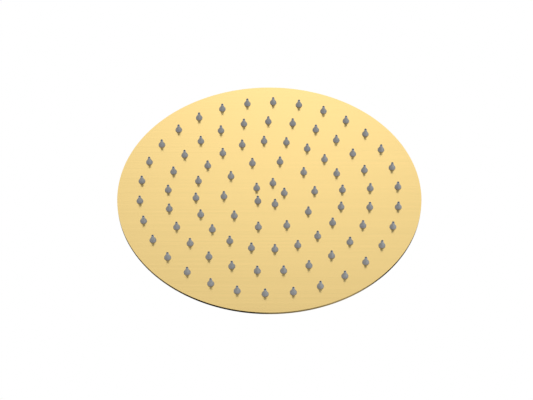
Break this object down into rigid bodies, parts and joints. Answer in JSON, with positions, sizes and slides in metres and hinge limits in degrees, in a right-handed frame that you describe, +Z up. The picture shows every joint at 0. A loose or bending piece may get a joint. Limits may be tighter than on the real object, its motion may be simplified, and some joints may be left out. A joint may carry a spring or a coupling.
{
  "type": "round shower head",
  "caption": "Thin round rain shower head: a flat face with rings of silicone nozzles on a shallow pressed back, hung on a swivel ball inlet with an internal pipe thread.",
  "frame": {"origin": "on the inlet's axis, where its internal pipe thread starts", "axes": "+Z up along the inlet's axis towards the supply pipe, with the spray face down; +X through the first nozzle of every ring"},
  "size_m": [0.25, 0.25, 0.0571],
  "materials": {
    "brushed_gold": "straight brushed, gold plated",
    "satin_gold": "satin, gold plated",
    "gold_brass": "polished, gold plated",
    "grey_silicone": "matt moulded silicone",
    "white_plastic": "machined",
    "black_rubber": "matt",
    "filter_steel": "etched sheet",
    "regulator_plastic": "moulded"
  },
  "bodies": {
    "inlet": {"ball_inlet": "gold_brass", "inlet_washer": "black_rubber", "inlet_filter": "filter_steel", "flow_regulator": "regulator_plastic", "regulator_o_ring": "black_rubber"},
    "seal": {"ball_seal": "black_rubber"},
    "head": {"face_plate": "brushed_gold", "back_plate": "satin_gold", "socket_body": "gold_brass", "union_nut": "gold_brass", "friction_ring": "white_plastic", "nozzles_ring_1": "grey_silicone", "nozzles_ring_2": "grey_silicone", "nozzles_ring_3": "grey_silicone", "nozzles_ring_4": "grey_silicone", "nozzles_ring_5": "grey_silicone"}
  },
  "joints": [
    {"name": "head_swivel", "type": "hinge", "parent": "inlet", "child": "seal", "pos_m": [0, 0, -0.02936], "axis": [0, 0, 1], "continuous": true},
    {"name": "head_tilt", "type": "hinge", "parent": "seal", "child": "head", "pos_m": [0, 0, -0.02936], "axis": [1, 0, 0], "range_deg": [-15, 15]}
  ]
}
